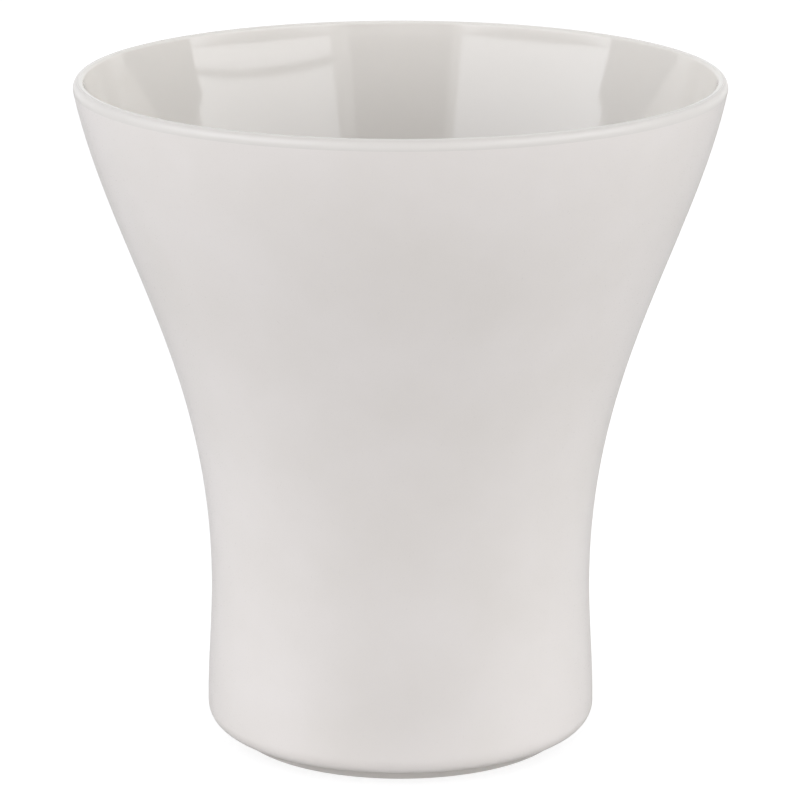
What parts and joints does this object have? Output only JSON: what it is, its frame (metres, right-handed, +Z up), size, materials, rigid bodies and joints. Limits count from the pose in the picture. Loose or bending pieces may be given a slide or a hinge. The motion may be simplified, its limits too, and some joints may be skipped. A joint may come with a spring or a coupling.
{
  "type": "beaker vase",
  "caption": "Waisted porcelain beaker vase flaring to a wide rounded lip, matt outside, glossy glaze inside, on a low foot ring.",
  "frame": {"origin": "on the table, under the middle of the foot ring", "axes": "+Z up along the axis of revolution, out of the mouth; X and Y are alike"},
  "size_m": [0.153, 0.153, 0.16],
  "materials": {
    "bisque_porcelain": "matt bare white porcelain, fine and smooth, with a soft sheen",
    "clear_glaze": "glossy clear glaze over white porcelain, faintly warm"
  },
  "bodies": {
    "root": {"porcelain_body": "bisque_porcelain", "interior_glaze": "clear_glaze"}
  },
  "joints": []
}
